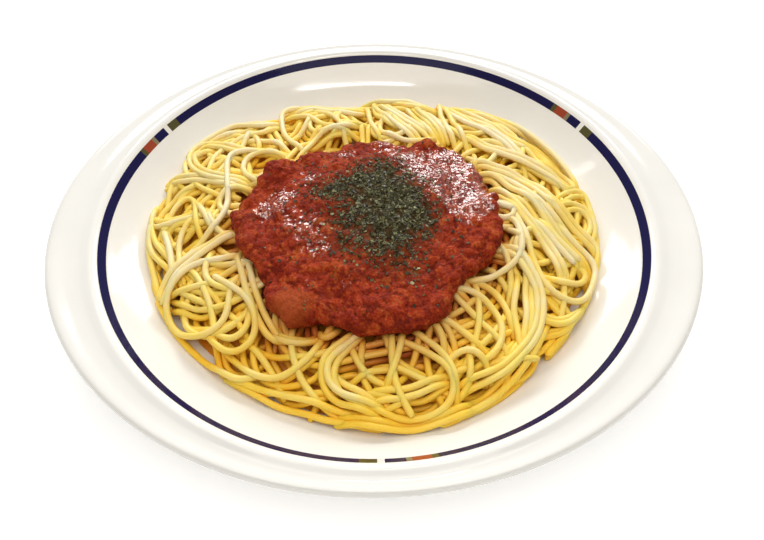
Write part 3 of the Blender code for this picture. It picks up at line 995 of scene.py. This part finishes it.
def sauce_finish():
    """Wet mince in tomato: each crumb in its own red or brown, oily in places, with painted shade
    in the hollows between crumbs.
    """
    material, shader, shade = finish_of(
        "meat_in_tomato",
        Subsurface_Weight=0.08,
        Subsurface_Radius=(1.0, 0.25, 0.08),
        Subsurface_Scale=0.001,
        Specular_IOR_Level=0.1,
        Roughness=0.6,
    )
    tone, raised, on_piece = shade.parts("crumb")
    oil, herb, _ = shade.parts("film")
    place = shade.node("TexCoord", output=3)
    mottle = shade.node("TexNoise", {}, {"Vector": place, "Scale": 1100.0, "Detail": 4.0})
    drift = shade.node("TexNoise", {}, {"Vector": place, "Scale": 95.0, "Detail": 2.0})
    stops = [
        (0.0, paint(106, 27, 14)),
        (0.3, paint(141, 40, 18)),
        (0.6, paint(164, 57, 22)),
        (0.85, paint(180, 88, 34)),
        (1.0, paint(126, 66, 28)),
    ]
    spot = tone * 0.5 + mottle * 1.5 + drift * 0.5 - 0.82
    colour = shade.node("ValToRGB", {"stops": stops}, {"Fac": spot})
    # The hollows between the crumbs are painted dark: painted shade.
    painted_hollow_shade = shade.sum("SUBTRACT", 0.6, raised * 2.2, clamp=True) * (1 - on_piece)
    colour = shade.mix(painted_hollow_shade, colour, paint(88, 21, 10))
    colour = shade.mix(on_piece * (mottle * 0.5 + 0.5), colour, paint(162, 72, 30))
    dusted = shade.sum("MULTIPLY", herb * 1.7, mottle * 0.9 + 0.2, clamp=True)
    colour = shade.mix(dusted, colour, paint(74, 56, 30))
    grain = shade.node("TexNoise", {}, {"Vector": place, "Scale": 1100.0, "Detail": 3.0})
    bump = shade.node("Bump", {}, {"Strength": 0.9, "Distance": 0.0007, "Height": grain})
    shade.feed(shader.inputs["Base Color"], colour)
    shade.feed(shader.inputs["Normal"], bump)
    swell = shade.node("TexNoise", {}, {"Vector": place, "Scale": 680.0, "Detail": 1.0})
    swollen = shade.node("Bump", {}, {"Strength": 0.95, "Distance": 0.0006, "Height": swell})
    gloss = {
        "Base Color": colour,
        "Normal": swollen,
        "IOR": 1.7,
        "Specular IOR Level": 1.0,
        "Specular Tint": (1.0, 0.98, 0.94, 1.0),
        "Roughness": 0.1,
    }
    oiled = shade.node("BsdfPrincipled", {}, gloss)
    film = shade.node("TexNoise", {}, {"Vector": place, "Scale": 620.0, "Detail": 2.0})
    wet = shade.sum("MULTIPLY", oil * 0.62 + film - 0.9, 10.0, clamp=True)
    dull = Shade(material.node_tree, shader.outputs[0])
    glossy = shade.node("MixShader", {}, {0: wet, 1: dull, 2: oiled})
    shade.feed(material.node_tree.nodes["Material Output"].inputs["Surface"], glossy)
    return material


def make_sauce():
    points = sauce_form()
    rings = rings_on_top + rings_on_side
    outward = outward_of(points, rings, round_sauce)
    points, tones, raised, on_piece = crumbled(points, outward)
    faces = quads_between(rings, round_sauce).tolist()
    last = (rings - 1) * round_sauce
    faces.append(list(range(round_sauce)))
    faces.append(list(range(last + round_sauce - 1, last - 1, -1)))
    sauce = piece_from("meat_sauce_mound", points, faces, [sauce_finish()], "meat_sauce")
    mark(sauce, "crumb", tones, (raised / 2.0).clip(0, 1), on_piece)
    oil, herb = (amount_at(points[:, :2], places) for places in (oily_places, parsley_places))
    mark(sauce, "film", oil.clip(0, 1), herb.clip(0, 1))
    return points, outward_of(points, rings, round_sauce)


sauce_points, sauce_outward = make_sauce()


# The parsley is dried and rubbed: flat dark green flakes of 1 to 2 mm, sprinkled thickly over
# the middle of the sauce and thinly round it, where they lie on the wet crumbs.
flake_count = 7000
flake_thickness = 0.12


def parsley_finish():
    material, shader, shade = finish_of("dried_parsley", Coat_Weight=0.15)
    tone, _, _ = shade.parts("flake")
    stops = [
        (0.0, paint(48, 42, 16)),
        (0.5, paint(74, 70, 34)),
        (0.85, paint(114, 112, 66)),
        (1.0, paint(168, 166, 122)),
    ]
    shade.feed(shader.inputs["Base Color"], shade.node("ValToRGB", {"stops": stops}, {"Fac": tone}))
    shade.feed(shader.inputs["Roughness"], 0.45 + 0.25 * tone)
    return material


def make_parsley():
    rng = np.random.default_rng(9)
    up = sauce_outward[:, 2].clip(0.05, 1)
    thick = amount_at(sauce_points[:, :2], parsley_places) ** 1.5
    thin = amount_at(sauce_points[:, :2], [(0, -10, 30, 0.02)])
    clumps = [0.55 + 1.4 * noise.noise(Vector(point) * 0.33) for point in sauce_points]
    clumps = np.array(clumps).clip(0.08, 1.3)
    chance = spread_evenly(sauce_points) * up * (thick * clumps + thin)
    spots = rng.choice(len(sauce_points), flake_count, p=chance / chance.sum())
    points, faces, marks = [], [], []
    for spot in spots:
        count = int(rng.integers(4, 7))
        turn = np.sort(rng.uniform(0, 2 * math.pi, count))
        size = rng.uniform(0.2, 0.75)
        longer = rng.uniform(0.7, 1.4)
        curl = rng.normal(0, 0.16, count)
        flat = np.column_stack([np.cos(turn) * size * longer, np.sin(turn) * size, curl])
        out = sauce_outward[spot] + rng.normal(0, 0.35, 3)
        out /= np.linalg.norm(out)
        side = np.cross(out, (0.3, 1, 0.1))
        side /= np.linalg.norm(side)
        axes = np.stack([side, np.cross(out, side), out])
        lift = 0.1 + rng.uniform(0, 0.7)
        upper = sauce_points[spot] + out * lift + flat @ axes
        lower = upper - out * flake_thickness
        base = len(points)
        points.extend(upper)
        points.extend(lower)
        faces.append([base + k for k in range(count)])
        faces.append([base + count + k for k in range(count - 1, -1, -1)])
        for k in range(count):
            after = (k + 1) % count
            faces.append([base + k, base + count + k, base + count + after, base + after])
        marks.extend([rng.uniform(0, 1) ** 1.6] * 2 * count)
    finishes = [parsley_finish()]
    parsley = piece_from("parsley_flakes", points, faces, finishes, "meat_sauce", smooth=False)
    mark(parsley, "flake", marks)


make_parsley()


# The plate stands on a plain pale table, lit by a wide window behind it, two thin tubes and a
# softbox over it, and the pale room. The camera looks down on it from the front, as near as
# from a seat at the table.


def make_floor():
    half, level = 3.0, plate_low[2] * MM
    corners = [(-half, -half), (half, -half), (half, half), (-half, half)]
    mesh = bpy.data.meshes.new("table_top")
    mesh.from_pydata([(x, y, level) for x, y in corners], [], [(0, 1, 2, 3)])
    material, _, _ = finish_of(
        "table_white",
        Base_Color=(0.98, 0.98, 0.98, 1.0),
        Roughness=0.9,
        Emission_Color=(1.0, 1.0, 1.0, 1.0),
        Emission_Strength=0.25,
    )
    mesh.materials.append(material)
    floor = bpy.data.objects.new("table_top", mesh)
    bpy.context.scene.collection.objects.link(floor)


def area_light(name, place, aim, size, power, colour=(1, 1, 1)):
    light = bpy.data.lights.new(name, "AREA")
    light.shape = "RECTANGLE"
    light.size, light.size_y = size
    light.energy = power
    light.color = colour
    lamp = bpy.data.objects.new(name, light)
    lamp.location = place
    lamp.rotation_euler = (Vector(aim) - Vector(place)).to_track_quat("-Z", "Y").to_euler()
    bpy.context.scene.collection.objects.link(lamp)


make_floor()
area_light("window_back", (0.0, 1.5, 0.87), (0, 0, 0.02), (1.7, 0.55), 25.0, (0.97, 0.985, 1.0))
area_light("tube", (0.02, 0.027, 0.41), (0.02, 0.027, 0), (0.115, 0.01), 0.15)
area_light("tube_left", (-0.18, 0.255, 0.40), (-0.18, 0.255, 0), (0.16, 0.006), 0.05)
area_light("softbox", (0, -0.2, 0.5), (0, -0.1, 0.02), (0.5, 0.4), 1.5, (1.0, 0.98, 0.95))

world = bpy.data.worlds.new("pale_room")
world.use_nodes = True
room = Shade(world.node_tree)
ways = room.node("SeparateXYZ", {}, {"Vector": room.node("TexCoord")})
towards_back = Shade(world.node_tree, ways.socket.node.outputs[1])
background = world.node_tree.nodes["Background"]
background.inputs["Color"].default_value = (1.0, 0.96, 0.9, 1.0)
room.feed(background.inputs["Strength"], 0.32 + 0.08 * towards_back)
bpy.context.scene.world = world
bpy.context.scene.view_settings.view_transform = "Standard"

# The camera's place from the middle of the plate's stripe, in metres, and its turn in degrees
stripe_z = 22.0
camera_in_front, camera_above = 0.1911, 0.1948
looking_down, turned_right = 50.13, 0.83
camera_data = bpy.data.cameras.new("camera")
camera_data.lens = 33.98
camera_data.clip_start = 0.01
camera = bpy.data.objects.new("camera", camera_data)
camera.location = (0, -camera_in_front, camera_above + stripe_z * MM)
camera.rotation_euler = (math.radians(90 - looking_down), 0, math.radians(-turned_right))
bpy.context.scene.collection.objects.link(camera)
bpy.context.scene.camera = camera
